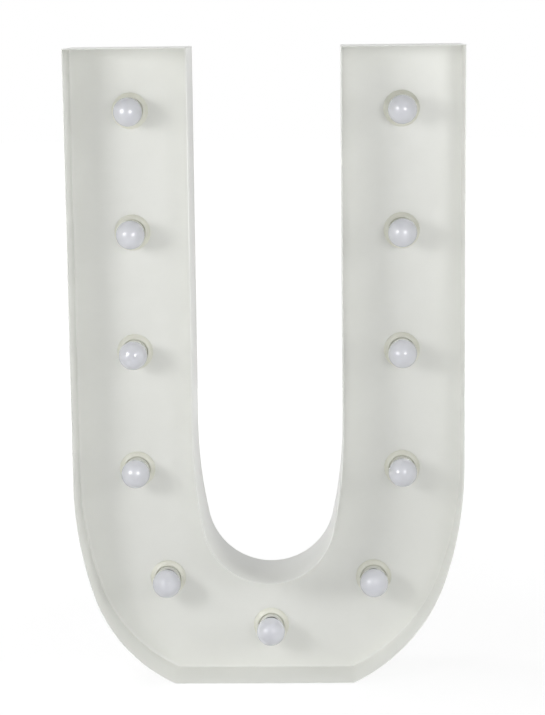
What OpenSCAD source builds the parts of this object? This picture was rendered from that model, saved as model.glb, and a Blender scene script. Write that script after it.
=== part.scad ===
// Light-up letter U: a free-standing tray letter of folded sheet steel with opal globe bulbs.
// The letter stands on its flat base, its open front faces -Y, and +Z is up.

/* [Letter] */
// Height of the letter
letter_h = 1000; // [900:10:1300]
// Width of the letter over its outer return
letter_w = 612; // [580:2:680]
// Width of the counter, the gap between the two arms
counter_w = 234; // [210:2:260]
// Depth of the returns, from the front edge to the back edge
return_depth = 145; // [140:1:180]
// Thickness of the sheet steel
sheet_t = 1.2; // [0.8:0.1:2]

/* [Outline] */
// Width of the flat base
base_w = 282; // [266:2:300]
// How far the middle of the base stands to the left of the letter's middle
base_shift = 10; // [4:1:14]
// Radius of the left outer bottom corner
left_corner_r = 240; // [225:1:255]
// Radius of the right outer bottom corner
right_corner_r = 284; // [268:1:296]
// Radius of the long curves that lead into the bottom corners
side_r = 576; // [520:2:640]
// Turn of those long curves in degrees
side_turn = 18.5; // [14:0.5:24]
// Height of the lowest point of the counter
counter_floor = 163; // [150:1:180]
// How far each side of the counter draws in above its round bottom
counter_draw = 14; // [8:1:20]
// Radius of the counter's long side curves
counter_side_r = 720; // [600:10:900]

/* [Tray] */
// Depth of the face plate behind the front edge
plate_inset = 82; // [75:1:84]
// Depth of the back panel's outer face in from the back edge
panel_recess = 10; // [8:0.5:11]
// Gap left around the face plate for the weld
plate_gap = 0.2; // [0.1:0.1:0.5]
// Gap left around the removable back panel
panel_gap = 1; // [0.5:0.1:2]
// Length of a bracket's two legs
tab_leg = 16; // [14:0.5:18]
// Width of a bracket
tab_w = 24; // [16:1:30]
// Thickness of a bracket
tab_t = 1.6; // [1.2:0.1:2.5]
// Diameter of the back panel's screws
screw_d = 4; // [3:0.5:5]
// Length of those screws under the head
screw_len = 8; // [6:0.5:12]
// Diameter of the screw heads
screw_head_d = 8; // [7:0.5:9]
// Height of the screw heads
screw_head_h = 2.6; // [2:0.1:3]
// Diameter of a keyhole's round entry
keyhole_d = 10; // [9:0.5:12]
// Width of a keyhole's neck
keyhole_neck = 5; // [4:0.5:6]
// Rise of a keyhole's neck above the centre of its entry
keyhole_rise = 12; // [10:0.5:16]

/* [Bulbs] */
// Distance of the top bulbs from the top of the letter
bulb_top = 98; // [80:1:120]
// Height of the lowest bulb's axis
bulb_base = 72; // [66:1:80]
// Diameter of a bulb's globe
globe_d = 45; // [42:0.5:50]
// Distance of the globe's centre in front of the face plate
globe_out = 39; // [34:0.5:42]
// Wall of the globe
globe_wall = 1; // [0.8:0.1:1.5]
// Diameter of the bulb's neck
neck_d = 26; // [25:0.1:26.4]
// Radius of the sweep from the neck into the globe
neck_fillet = 5; // [3:0.5:6]
// Diameter over the crests of the screw cap
cap_d = 26.4; // [26:0.1:26.6]
// Depth of the cap's thread
cap_thread = 1; // [0.8:0.1:1.2]
// Pitch of the cap's thread
cap_pitch = 3.6; // [3.4:0.1:3.8]
// Diameter of the cap's end contact
tip_d = 9; // [8:0.5:10]

/* [Lampholders] */
// Diameter of the clamping ring in front of the plate
ring_d = 57; // [52:0.5:60]
// Height of the clamping ring
ring_h = 6; // [5:0.5:7]
// Height of the clamping ring at its outer edge
ring_edge = 2.5; // [2:0.1:4]
// Outer diameter of the barrel that passes through the plate
barrel_d = 39; // [37.5:0.5:42]
// Inner diameter of the barrel
mouth_d = 31; // [30.6:0.1:32]
// Distance of the barrel's rim in front of the plate
rim_out = 8; // [7.5:0.5:9]
// Diameter of the shoulder behind the plate
shoulder_d = 50; // [46:0.5:54]
// Thickness of that shoulder
shoulder_t = 3; // [2.5:0.1:4]
// Diameter of the holder's body and rear cap
holder_d = 42; // [40:0.5:44]
// Depth of the socket's floor behind the front of the plate
socket_depth = 22; // [21.5:0.1:23]
// Thickness of the socket's floor
socket_floor = 4; // [3:0.5:5]
// Length of the rear cap
rear_cap_len = 19; // [18:0.5:20]
// Wall of the rear cap
rear_cap_wall = 2.2; // [1.8:0.1:2.6]
// Clearance between parts that screw or plug into each other
plug_fit = 0.3; // [0.2:0.05:0.4]
// Wall of the thread sleeve
sleeve_wall = 1.2; // [1:0.1:1.3]
// Diameter of the centre contact's rivet
rivet_d = 3; // [2.5:0.1:3.5]
// Running clearance around rivets, pins and screws
pin_fit = 0.05; // [0.03:0.01:0.1]

/* [Wiring] */
// Diameter of the insulated wires
wire_d = 2.8; // [2.4:0.1:3]
// Distance between the live and the neutral wire
wire_gap = 7; // [6:0.5:8]
// Depth of the wires behind the front of the plate
wire_depth = 38; // [37:0.5:39]
// Length of the terminal block along the wires
block_len = 22; // [18:1:26]
// Height of the terminal block above the back panel
block_h = 21; // [20:0.5:24]

/* [Switch and inlet] */
// Place of the rocker switch across the back
switch_x = 120; // [116:1:126]
// Height of the rocker switch
switch_z = 50; // [48:1:56]
// Width of the switch's bezel
bezel_w = 15; // [14:0.5:16]
// Height of the switch's bezel
bezel_h = 21; // [20:0.5:22]
// Thickness of the switch's bezel
bezel_t = 2; // [1.5:0.1:2.5]
// Depth of the switch's body behind the bezel
switch_depth = 16; // [14:0.5:18]
// Tilt of the rocker to either side in degrees
rocker_tilt = 9; // [6:1:10]
// Place of the power inlet across the back
inlet_x = 56; // [54:1:60]
// Height of the power inlet
inlet_z = 34; // [33:1:36]
// Width of the inlet's flange
flange_w = 50; // [48:0.5:51]
// Height of the inlet's flange
flange_h = 22.5; // [21:0.5:24]
// Thickness of the inlet's flange
flange_t = 3; // [2:0.1:4]
// Width of the inlet's recess
recess_w = 24; // [23:0.5:25]
// Height of the inlet's recess
recess_h = 16; // [15:0.5:17]
// Depth of the inlet's recess
recess_depth = 16; // [15:0.5:17]

/* [Hidden] */
$fn = 64;
BULBS = 11;
// Bulbs on each side of the lowest one
ARM_BULBS = 5;
function label(i) = i < 10 ? str("0", i) : str(i);
function numbered(name) = [for (i = [1 : BULBS]) str(name, label(i))];

// Paint and moulding colours
steel_white = [0.87, 0.87, 0.85];
zinc = [0.70, 0.71, 0.72];
cream = [0.85, 0.85, 0.78];
brass = [0.78, 0.66, 0.36];
opal = [0.88, 0.89, 0.93];
nylon = [0.90, 0.90, 0.86];
jet = [0.07, 0.07, 0.08];
brown = [0.35, 0.20, 0.10];
blue = [0.15, 0.35, 0.70];
green = [0.35, 0.60, 0.20];

// Depths of the main sheets along Y
front_y = -return_depth / 2;
rear_y = return_depth / 2;
plate_y = front_y + plate_inset;
plate_back = plate_y + sheet_t;
panel_back = rear_y - panel_recess;
panel_front = panel_back - sheet_t;
// Overshoot of a cut past the face that it opens
cut = 1;
// Overlap of the stretches that make up an outline, and of its two halves
band_lap = 30;
middle_lap = 20;
// Width of the slots in screw heads
slot_w = 0.8;

// Each side of the outer outline: an upright flank, a tangent long curve, a tangent corner and the base.
// A side is [corner radius, corner's centre across, corner's centre height, top of the long curve]
side_cx = letter_w / 2 - side_r;
function outer_side(r, foot) = let (
    cx = side_cx + (side_r - r) * cos(side_turn),
    cz = sqrt(pow(r, 2) - pow(foot - cx, 2)))
    [r, cx, cz, cz + (side_r - r) * sin(side_turn)];
left_side = outer_side(left_corner_r, base_w / 2 + base_shift);
right_side = outer_side(right_corner_r, base_w / 2 - base_shift);

// Counter outline: an upright flank, a long curve and a round bottom, all tangent
counter_r = counter_w / 2 - counter_draw;
counter_cx = counter_w / 2 - counter_side_r;
counter_turn = acos(-counter_cx / (counter_side_r - counter_r));
counter_cz = counter_floor + counter_r;
counter_z = counter_cz + (counter_side_r - counter_r) * sin(counter_turn);

// The bulbs follow the middle of the stroke: up each arm and round an arc, at one pitch
path_r = (letter_w + counter_w) / 4;
path_cz = bulb_base + path_r;
quarter = path_r * PI / 2;
bulb_pitch = (quarter + letter_h - bulb_top - path_cz) / ARM_BULBS;
function along(s) = s < -quarter ? [-path_r, path_cz - s - quarter]
    : s > quarter ? [path_r, path_cz + s - quarter]
    : let (a = s / path_r * 180 / PI) [path_r * sin(a), path_cz - path_r * cos(a)];
function heading(s) = s < -quarter ? -90 : s > quarter ? 90 : s / path_r * 180 / PI;
function bulb_s(i) = (i - 1 - ARM_BULBS) * bulb_pitch;
function bulb_at(i) = along(bulb_s(i));

// Brackets on the straight flanks, spread between the curves and the top
bracket_low = counter_z + 2 * tab_w;
bracket_high = letter_h - 2 * tab_w - sheet_t;
function bracket_z(k, n) = bracket_low + k * (bracket_high - bracket_low) / (n - 1);
outer_wall = letter_w / 2 - sheet_t;
inner_wall = counter_w / 2 + sheet_t;
base_tabs = [for (side = [-1, 1]) side * (base_w / 2 - 1.25 * tab_w) - base_shift];
// Screw holes sit past the middle of a bracket's leg, clear of its bend
tab_hole = tab_leg / 2 + 1;
// Each bracket's place on its wall: [wall's face, height, direction away from the wall]
plate_brackets = concat(
    [for (side = [-1, 1], k = [0 : 2]) [side * outer_wall, bracket_z(k, 3), -side]],
    [for (side = [-1, 1], k = [0 : 2]) [side * inner_wall, bracket_z(k, 3), side]]);
panel_brackets = concat(
    [for (side = [-1, 1], k = [0 : 2]) [side * outer_wall, bracket_z(k, 3), -side]],
    [for (side = [-1, 1], k = [0 : 1]) [side * inner_wall, bracket_z(k * 2 + 1, 4), side]]);
panel_holes = concat(
    [for (b = panel_brackets) [b[0] + b[2] * tab_hole, b[1]]],
    [for (x = base_tabs) [x, sheet_t + tab_hole]]);
keyhole_x = (path_r + outer_wall) / 2;
keyhole_z = letter_h - bulb_top - bulb_pitch / 2;

// Lampholder radii and depths, measured forward from the face of the plate
barrel_r = barrel_d / 2;
ring_r = ring_d / 2;
mouth_r = mouth_d / 2;
holder_r = holder_d / 2;
holder_back = socket_depth + socket_floor;
rear_cap_back = holder_back + rear_cap_len;
sleeve_r = mouth_r - plug_fit;
sleeve_sunk = 3;
sleeve_front = rim_out - sleeve_sunk;
rivet_r = rivet_d / 2;
contact_r = 0.9 * tip_d / 2;
wire_r = wire_d / 2;
stud_back = wire_depth - wire_r - plug_fit;
// Thread sleeve's terminal: a strip through the floor that steps in to the neutral wire
strip_t = 1.2;
strip_w = 4;
strip_step = holder_back + strip_t;
chamfer = 0.8;

// Bulb: its cap seats under the neck, and its end contact stops short of the centre contact
neck_rise = 1;
neck_seat = rim_out + neck_rise;
neck_r = neck_d / 2;
globe_r = globe_d / 2;
fillet_x = neck_r + neck_fillet;
fillet_h = globe_out - sqrt(pow(globe_r + neck_fillet, 2) - pow(fillet_x, 2));
fillet_share = globe_r / (globe_r + neck_fillet);
cap_r = cap_d / 2;
cap_wall = 1;
cap_turns = 5;
collar_h = 2.5;
contact_h = 1.2;
tip_h = -socket_depth + contact_h + plug_fit;
tip_len = 3;
insulator_len = 4.5;
thread_h = tip_h + tip_len + insulator_len;

// Terminal block on the back panel, in line with the wires between the lowest bulb and the next
clamp_reach = holder_r + rear_cap_wall;
function polar(a) = [cos(a), sin(a)];
function side_of(a) = [-sin(a), cos(a)];
function wire_out(i, off) = bulb_at(i) + clamp_reach * polar(heading(bulb_s(i)))
    + off * side_of(heading(bulb_s(i)));
function wire_in(i, off) = bulb_at(i) - clamp_reach * polar(heading(bulb_s(i)))
    + off * side_of(heading(bulb_s(i)));
LOWEST = ARM_BULBS + 1;
block_from = wire_out(LOWEST, 0);
block_to = wire_in(LOWEST + 1, 0);
block_c = (block_from + block_to) / 2;
block_turn = atan2(block_to[1] - block_from[1], block_to[0] - block_from[0]);
block_edge = 6;
block_above = wire_gap + block_edge;
// The crossing bores of the block differ in size: wire, clamping screw and supply lead
block_bore = wire_r + 0.4;
clamp_r = block_bore + 0.4;
lead_bore = block_bore - 0.15;
wire_y = plate_y + wire_depth;
function on_block(run, off) = block_c + run * polar(block_turn) + off * side_of(block_turn);

// Switch and inlet
bezel_y = panel_back + bezel_t;
pivot_sunk = 2.5;
pivot_y = bezel_y - pivot_sunk;
bezel_lip = 2.1;
mouth_w = bezel_w - 2 * bezel_lip;
mouth_h = bezel_h - 2 * bezel_lip;
switch_wall = 1;
rocker_play = 0.3;
trunnion_d = 2.4;
rocker_crown = 3.2;
rocker_below = 3;
pocket_depth = 9.5;
switch_tab_z = 4;
switch_tab_len = 7;
blade_w = 4;
blade_t = 0.8;
blade_seat = 2;
inlet_y = panel_back + flange_t;
inlet_wall = 1.6;
inlet_floor = 5;
pin_w = 2;
pin_h = 4;
pin_short = 5;
pin_tab = 8;
inlet_hole_edge = 5;
inlet_hole_x = flange_w / 2 - inlet_hole_edge;
inlet_screw_d = 3;
inlet_head_d = 5.5;
inlet_screw_len = 7;
inlet_head_h = 1.8;
inlet_back = inlet_y - recess_depth - inlet_floor;
// Pins: live, neutral and the raised earth pin
pins = [[7, -2], [-7, -2], [0, 2]];

// Earth stud on the base
stud_x = 0;
stud_y = (plate_back + panel_front) / 2;
stud_d = 5;
stud_len = 16;
nut_h = 4;
nut_d = 9.2;
lug_t = 1;
lug_d = 11;
lug_reach = 14;

// Leads, with free stretches chosen by hand between the terminals
switch_end = bezel_y - switch_depth - switch_tab_len - plug_fit;
inlet_end = inlet_back - pin_tab - plug_fit;
bend_y = 26;
lead_bend = 10;
function flat_to(p, y) = [p[0], y, p[1]];
live_in = [
    [inlet_x + pins[0][0], inlet_end, inlet_z + pins[0][1]],
    [inlet_x + pins[0][0], inlet_end - lead_bend, inlet_z + pins[0][1]],
    [inlet_x + 16, bend_y - 4, inlet_z + 2],
    [switch_x - 18, bend_y - 4, switch_z - switch_tab_z - 4],
    [switch_x, switch_end - lead_bend, switch_z - switch_tab_z],
    [switch_x, switch_end, switch_z - switch_tab_z]];
live_out = [
    [switch_x, switch_end, switch_z + switch_tab_z],
    [switch_x, switch_end - lead_bend, switch_z + switch_tab_z],
    [switch_x - 4, bend_y + 2, switch_z + 16],
    flat_to(on_block(0, -block_edge - 26), bend_y + 6),
    flat_to(on_block(0, -block_edge - 12), wire_y - 4),
    flat_to(on_block(0, -block_edge - 6), wire_y),
    flat_to(on_block(0, -wire_d / 2 - wire_r - plug_fit), wire_y)];
neutral_in = [
    [inlet_x + pins[1][0], inlet_end, inlet_z + pins[1][1]],
    [inlet_x + pins[1][0], inlet_end - lead_bend, inlet_z + pins[1][1]],
    [inlet_x - 10, bend_y - 5, inlet_z + 18],
    [inlet_x - 8, bend_y - 3, inlet_z + 70],
    flat_to(on_block(0, block_above + 30), bend_y + 6),
    flat_to(on_block(0, block_above + 14), wire_y - 4),
    flat_to(on_block(0, block_above + 7), wire_y),
    flat_to(on_block(0, wire_gap + wire_d / 2 + wire_r + plug_fit), wire_y)];
earth_lead = [
    [inlet_x + pins[2][0], inlet_end, inlet_z + pins[2][1]],
    [inlet_x + pins[2][0], inlet_end - lead_bend, inlet_z + pins[2][1]],
    [inlet_x + 2, bend_y - 6, inlet_z - 12],
    [inlet_x - 18, stud_y - 6, sheet_t + 12],
    [stud_x + lug_reach + 12, stud_y, sheet_t + 4],
    [stud_x + lug_reach + plug_fit, stud_y, sheet_t + wire_r + plug_fit]];
// A run of wire through the holders from the terminal block outwards
function run_right(off) = concat(
    [flat_to(on_block(block_bore, off), wire_y)],
    [for (i = [LOWEST + 1 : BULBS], e = [0, 1])
        let (out = i == BULBS ? bulb_at(i) + run_end(i, off) : wire_out(i, off))
        flat_to(e == 0 ? wire_in(i, off) : out, wire_y)]);
function run_left(off) = concat(
    [flat_to(on_block(-block_bore, off), wire_y)],
    [for (i = [LOWEST : -1 : 1], e = [0, 1])
        let (out = i == 1 ? bulb_at(i) - run_end(i, -off) : wire_in(i, off))
        flat_to(e == 0 ? wire_out(i, off) : out, wire_y)]);
// Past the last terminal a run ends inside the rear cap
run_past = 6;
function run_end(i, off) = run_past * polar(heading(bulb_s(i))) + off * side_of(heading(bulb_s(i)));

// Helpers

// A plate between two depths, from an outline drawn in X and Z
module slab(y0, y1) {
    translate([0, y1, 0]) rotate([90, 0, 0]) linear_extrude(y1 - y0) children();
}

// Places a piece on a bulb's axis, with its Z forward from the plate and its Y along the wires
module at_bulb(i) {
    p = bulb_at(i);
    translate([p[0], plate_y, p[1]]) rotate([90, 0, 0]) rotate([0, 0, heading(bulb_s(i)) - 90]) children();
}

// From the middle out to a curve that bulges to the right, between two heights
module bulge(cx, cz, r, low, high) {
    intersection() {
        translate([cx, cz]) circle(r, $fn = 180);
        translate([-middle_lap, low]) square([letter_w, high - low]);
    }
}

// One half of the letter with the counter filled, drawn in by a distance.
// Each lower stretch runs up inside the one above it, so that the stretches overlap.
module outer_half(side, inset, top) {
    low = side[2] - (side[0] - inset) * sin(side_turn);
    translate([-middle_lap, side[3]]) square([letter_w / 2 - inset + middle_lap, top - side[3]]);
    bulge(side_cx, side[3], side_r - inset, low, side[3] + band_lap);
    bulge(side[1], side[2], side[0] - inset, inset, low + band_lap);
}

// Outline of the whole letter with the counter filled
module letter_outline(inset, top) {
    outer_half(right_side, inset, top);
    mirror([1, 0]) outer_half(left_side, inset, top);
}

// Outline of the counter, let out by a distance
module counter_outline(outset, top) {
    low = counter_cz - (counter_r + outset) * sin(counter_turn);
    translate([-counter_w / 2 - outset, counter_z]) square([counter_w + 2 * outset, top - counter_z]);
    for (flip = [0, 1]) mirror([flip, 0])
        bulge(counter_cx, counter_z, counter_side_r + outset, low, counter_z + band_lap);
    translate([0, counter_cz]) circle(counter_r + outset, $fn = 180);
}

// The U between the returns, with a gap to them
module stroke(gap) {
    difference() {
        letter_outline(sheet_t + gap, letter_h - sheet_t - gap);
        counter_outline(sheet_t + gap, letter_h + cut);
    }
}

// A bracket of two legs: one on a wall, one on a sheet at depth y, with the wall leg towards +Y or -Y
module bracket(wall, z, away, y, back) {
    x0 = away > 0 ? wall : wall - tab_leg;
    xw = away > 0 ? wall : wall - tab_t;
    translate([x0, back > 0 ? y : y - tab_t, z - tab_w / 2]) cube([tab_leg, tab_t, tab_w]);
    translate([xw, back > 0 ? y : y - tab_leg, z - tab_w / 2]) cube([tab_t, tab_leg, tab_w]);
}

// Outline of a moulded body around its opening, with a wall all round
module body_outline(w, h, wall) {
    square([w + 2 * wall, h + 2 * wall], center = true);
}

// A pan head screw along Y: its head stands behind y
module pan_screw(x, y, z, d, len, head_d, head_h) {
    translate([x, y, z]) rotate([90, 0, 0]) cylinder(h = len, d = d);
    translate([x, y + head_h, z]) rotate([90, 0, 0]) difference() {
        cylinder(h = head_h, d = head_d);
        translate([-head_d, -slot_w / 2, -cut]) cube([2 * head_d, slot_w, cut + head_h / 2]);
    }
}

// A round hole through a sheet along Y
module hole_y(x, y0, y1, z, d) {
    translate([x, y1 + cut, z]) rotate([90, 0, 0]) cylinder(h = y1 - y0 + 2 * cut, d = d);
}

function unit(v) = v / norm(v);
function carried(ds, u, i) = i == len(ds) ? []
    : let (v = unit(u - (u * ds[i]) * ds[i])) concat([v], carried(ds, v, i + 1));

// An insulated wire: a round tube along a list of points
module wire(points) {
    sides = 8;
    last = len(points) - 1;
    ds = [for (i = [0 : last]) unit(points[min(i + 1, last)] - points[max(i - 1, 0)])];
    us = carried(ds, [0.31, 0.52, 0.79], 0);
    rings = [for (i = [0 : last], k = [0 : sides - 1])
        let (a = 360 * k / sides) points[i] + wire_r * (cos(a) * us[i] + sin(a) * cross(ds[i], us[i]))];
    walls = [for (i = [0 : last - 1], k = [0 : sides - 1], half = [0, 1])
        let (a = i * sides + k, b = i * sides + (k + 1) % sides)
        half == 0 ? [a, b + sides, b] : [a, a + sides, b + sides]];
    ends = [for (k = [1 : sides - 2], end = [0, 1])
        end == 0 ? [0, k, k + 1] : [last * sides, last * sides + k + 1, last * sides + k]];
    polyhedron(points = rings, faces = concat(walls, ends), convexity = 6);
}

// Sheet metal

// Outer return: one strip bent round the outside, open at the top of each arm
module outer_return() {
    color(steel_white) slab(front_y, rear_y) difference() {
        letter_outline(0, letter_h);
        letter_outline(sheet_t, letter_h + cut);
    }
}

// Inner return: one strip bent round the counter
module inner_return() {
    color(steel_white) slab(front_y, rear_y) difference() {
        counter_outline(sheet_t, letter_h);
        counter_outline(0, letter_h + cut);
    }
}

// Strip that closes the top of one arm between the two returns
module top_cap(side) {
    x0 = side > 0 ? inner_wall : -outer_wall;
    color(steel_white) translate([x0, front_y, letter_h - sheet_t])
        cube([outer_wall - inner_wall, return_depth, sheet_t]);
}

// Face plate with a hole for each lampholder
module face_plate() {
    color(steel_white) slab(plate_y, plate_back) difference() {
        stroke(plate_gap);
        for (i = [1 : BULBS]) translate(bulb_at(i)) circle(d = barrel_d + 2 * plug_fit);
    }
}

// Brackets that carry the face plate on the straight flanks
module plate_tabs() {
    color(zinc) for (b = plate_brackets) bracket(b[0], b[1], b[2], plate_back, 1);
}

// Removable back panel with its screw holes, keyholes and cut-outs
module back_panel() {
    color(steel_white) difference() {
        slab(panel_front, panel_back) difference() {
            stroke(panel_gap);
            for (side = [-1, 1]) {
                translate([side * keyhole_x, keyhole_z]) circle(d = keyhole_d);
                translate([side * keyhole_x - keyhole_neck / 2, keyhole_z])
                    square([keyhole_neck, keyhole_rise]);
                translate([side * keyhole_x, keyhole_z + keyhole_rise]) circle(d = keyhole_neck);
            }
            translate([switch_x, switch_z]) body_outline(mouth_w, mouth_h, switch_wall + plug_fit / 2);
            translate([inlet_x, inlet_z]) body_outline(recess_w, recess_h, inlet_wall + plug_fit / 2);
        }
        for (p = panel_holes) hole_y(p[0], panel_front, panel_back, p[1], screw_d + 2 * plug_fit);
        for (x = [inlet_x - inlet_hole_x, inlet_x + inlet_hole_x])
            hole_y(x, panel_front, panel_back, inlet_z, inlet_screw_d + 2 * pin_fit);
    }
}

// Brackets that carry the back panel, each with a tapped hole
module panel_tabs() {
    color(zinc) {
        for (b = panel_brackets) difference() {
            bracket(b[0], b[1], b[2], panel_front, -1);
            hole_y(b[0] + b[2] * tab_hole, panel_front - tab_t, panel_front, b[1], screw_d + 2 * pin_fit);
        }
        for (x = base_tabs) difference() {
            union() {
                translate([x - tab_w / 2, panel_front - tab_t, sheet_t]) cube([tab_w, tab_t, tab_leg]);
                translate([x - tab_w / 2, panel_front - tab_leg, sheet_t]) cube([tab_w, tab_leg, tab_t]);
            }
            hole_y(x, panel_front - tab_t, panel_front, sheet_t + tab_hole, screw_d + 2 * pin_fit);
        }
    }
}

// Slotted pan head screws of the back panel
module panel_screws() {
    color(zinc) for (p = panel_holes)
        pan_screw(p[0], panel_back, p[1], screw_d, screw_len, screw_head_d, screw_head_h);
}

// Lampholders

// Clamping rings that screw onto the barrels in front of the plate
module shade_rings() {
    ri = barrel_r + plug_fit / 2;
    color(cream) for (i = [1 : BULBS]) at_bulb(i) rotate_extrude() polygon([
        [ri, 0], [ring_r, 0], [ring_r, ring_edge], [ring_r - chamfer, ring_edge + chamfer],
        [ri + 2, ring_h], [ri, ring_h]]);
}

// Lampholder body: a barrel through the plate, a shoulder behind it and a closed socket
module lampholder(i) {
    shoulder_r = shoulder_d / 2;
    hole_r = rivet_r + pin_fit;
    color(cream) at_bulb(i) difference() {
        rotate_extrude() polygon([
            [mouth_r + chamfer, rim_out], [barrel_r - chamfer, rim_out], [barrel_r, rim_out - chamfer],
            [barrel_r, -sheet_t], [shoulder_r, -sheet_t], [shoulder_r, -sheet_t - shoulder_t],
            [holder_r, -sheet_t - shoulder_t], [holder_r, -holder_back], [hole_r, -holder_back],
            [hole_r, -socket_depth], [mouth_r, -socket_depth], [mouth_r, rim_out - chamfer]]);
        translate([-sleeve_r - pin_fit, -strip_w / 2 - pin_fit, -holder_back - cut])
            cube([sleeve_wall + 2 * pin_fit, strip_w + 2 * pin_fit, socket_floor + 2 * cut]);
    }
}

// Thread sleeves with the strip that takes the neutral wire
module thread_sleeves() {
    inner_x = -sleeve_r + sleeve_wall;
    color(brass) for (i = [1 : BULBS]) at_bulb(i) {
        difference() {
            translate([0, 0, -socket_depth]) cylinder(h = socket_depth + sleeve_front, r = sleeve_r);
            translate([0, 0, -socket_depth - cut])
                cylinder(h = socket_depth + sleeve_front + 2 * cut, r = sleeve_r - sleeve_wall);
        }
        intersection() {
            translate([-sleeve_r, -strip_w / 2, -strip_step - strip_t])
                cube([sleeve_wall, strip_w, strip_step + strip_t - socket_depth + cut]);
            translate([0, 0, -strip_step - strip_t]) difference() {
                cylinder(h = strip_step + strip_t, r = sleeve_r);
                translate([0, 0, -cut])
                    cylinder(h = strip_step + strip_t + 2 * cut, r = sleeve_r - sleeve_wall);
            }
        }
        translate([inner_x - sleeve_wall / 2, -strip_w / 2, -strip_step - strip_t])
            cube([sleeve_r - sleeve_wall / 2 - wire_gap + strip_t / 2, strip_w, strip_t]);
        translate([-wire_gap - strip_t / 2, -strip_w / 2, -stud_back])
            cube([strip_t, strip_w, stud_back - strip_step]);
    }
}

// Centre contacts: a button on the socket's floor with a rivet that takes the live wire
module centre_contacts() {
    color(brass) for (i = [1 : BULBS]) at_bulb(i) {
        translate([0, 0, -socket_depth]) cylinder(h = contact_h, r = contact_r);
        translate([0, 0, -stud_back]) cylinder(h = stud_back - socket_depth + contact_h / 2, r = rivet_r);
    }
}

// Rear caps over the terminals, with a window on each side for the wires
module holder_caps() {
    window_w = wire_gap + wire_d + 4;
    window_h = wire_d + 5;
    color(cream) for (i = [1 : BULBS]) at_bulb(i) difference() {
        translate([0, 0, -rear_cap_back]) cylinder(h = rear_cap_len, r = holder_r);
        translate([0, 0, rear_cap_wall - rear_cap_back])
            cylinder(h = rear_cap_len - rear_cap_wall + cut, r = holder_r - rear_cap_wall);
        translate([-wire_gap / 2 - window_w / 2, -holder_d, -wire_depth - window_h / 2])
            cube([window_w, 2 * holder_d, window_h]);
    }
}

// Bulbs

// Screw cap: a threaded shell, the glass insulator and the end contact
module bulb_cap(i) {
    root_r = cap_r - cap_thread;
    bore_r = root_r - cap_wall;
    crest = cap_pitch / 4;
    color(zinc) at_bulb(i) rotate_extrude() polygon(concat(
        [[bore_r, neck_seat], [cap_r, neck_seat], [cap_r, neck_seat - collar_h]],
        [for (k = [0 : cap_turns - 1], e = [0 : 3])
            [e == 0 || e == 3 ? root_r : cap_r, neck_seat - collar_h - cap_pitch * k - crest * (e + 1)]],
        [[root_r, thread_h], [tip_d / 2, tip_h + tip_len], [tip_d / 2, tip_h], [0, tip_h]],
        [[0, thread_h], [bore_r, thread_h + cap_wall]]));
}

// Half outline of the globe and its neck
module globe_profile(r, neck) {
    intersection() {
        union() {
            translate([0, globe_out]) circle(r);
            translate([0, neck_seat]) square([neck, globe_out - neck_seat]);
        }
        translate([0, neck_seat]) square([2 * r, globe_out + r]);
    }
}

// Opal globe with its neck, hollow and open towards the cap
module bulb_globe(i) {
    color(opal) at_bulb(i) rotate_extrude($fn = 96) difference() {
        union() {
            globe_profile(globe_r, neck_r);
            difference() {
                polygon([
                    [0, fillet_h], [fillet_x, fillet_h],
                    [fillet_x * fillet_share, globe_out - (globe_out - fillet_h) * fillet_share],
                    [0, globe_out]]);
                translate([fillet_x, fillet_h]) circle(neck_fillet);
            }
        }
        globe_profile(globe_r - globe_wall, neck_r - globe_wall);
    }
}

// Wiring

// Live wires: inlet to switch, switch to block, and the two runs through the holders
module live_wires() {
    color(brown) {
        wire(live_in);
        wire(live_out);
        wire(run_left(0));
        wire(run_right(0));
    }
}

// Neutral wires: inlet to block, and the two runs beside the live ones
module neutral_wires() {
    color(blue) {
        wire(neutral_in);
        wire(run_left(wire_gap));
        wire(run_right(wire_gap));
    }
}

// Earth wire from the inlet to the stud on the base
module earth_wire() {
    color(green) wire(earth_lead);
}

// Two-pole terminal block fixed to the inside of the back panel
module terminal_block() {
    bore_y = panel_front - wire_y;
    color(nylon) translate([block_c[0], panel_front, block_c[1]])
        rotate([90, 0, 0]) rotate([0, 0, block_turn]) difference() {
            translate([-block_len / 2, -block_edge, 0]) cube([block_len, block_above + block_edge, block_h]);
            for (off = [0, wire_gap]) {
                translate([-block_len, off, bore_y]) rotate([0, 90, 0])
                    cylinder(h = 2 * block_len, r = block_bore);
                translate([0, off, bore_y]) cylinder(h = block_h, r = clamp_r);
            }
            translate([0, 0, bore_y]) rotate([90, 0, 0]) cylinder(h = block_edge + cut, r = lead_bore);
            translate([0, wire_gap, bore_y]) rotate([-90, 0, 0]) cylinder(h = block_above, r = lead_bore);
        }
}

// Clamping screws of the terminal block, sunk below its face
module terminal_screws() {
    clamp_sunk = 1;
    low = panel_front - wire_y + wire_r + plug_fit;
    color(zinc) translate([block_c[0], panel_front, block_c[1]])
        rotate([90, 0, 0]) rotate([0, 0, block_turn]) for (off = [0, wire_gap])
            translate([0, off, low]) difference() {
                cylinder(h = block_h - low - clamp_sunk, r = clamp_r - pin_fit);
                translate([-clamp_r, -slot_w / 2, block_h - low - 2 * clamp_sunk])
                    cube([2 * clamp_r, slot_w, 2 * clamp_sunk]);
            }
}

// Earth stud welded to the inside of the base
module earth_stud() {
    color(zinc) translate([stud_x, stud_y, sheet_t]) cylinder(h = stud_len, d = stud_d);
}

// Ring lug under the nut of the earth stud
module earth_lug() {
    color(brass) translate([stud_x, stud_y, sheet_t]) difference() {
        union() {
            cylinder(h = lug_t, d = lug_d);
            translate([0, -wire_r, 0]) cube([lug_reach, wire_d, lug_t]);
        }
        translate([0, 0, -cut]) cylinder(h = lug_t + 2 * cut, d = stud_d + 2 * pin_fit);
    }
}

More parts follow.
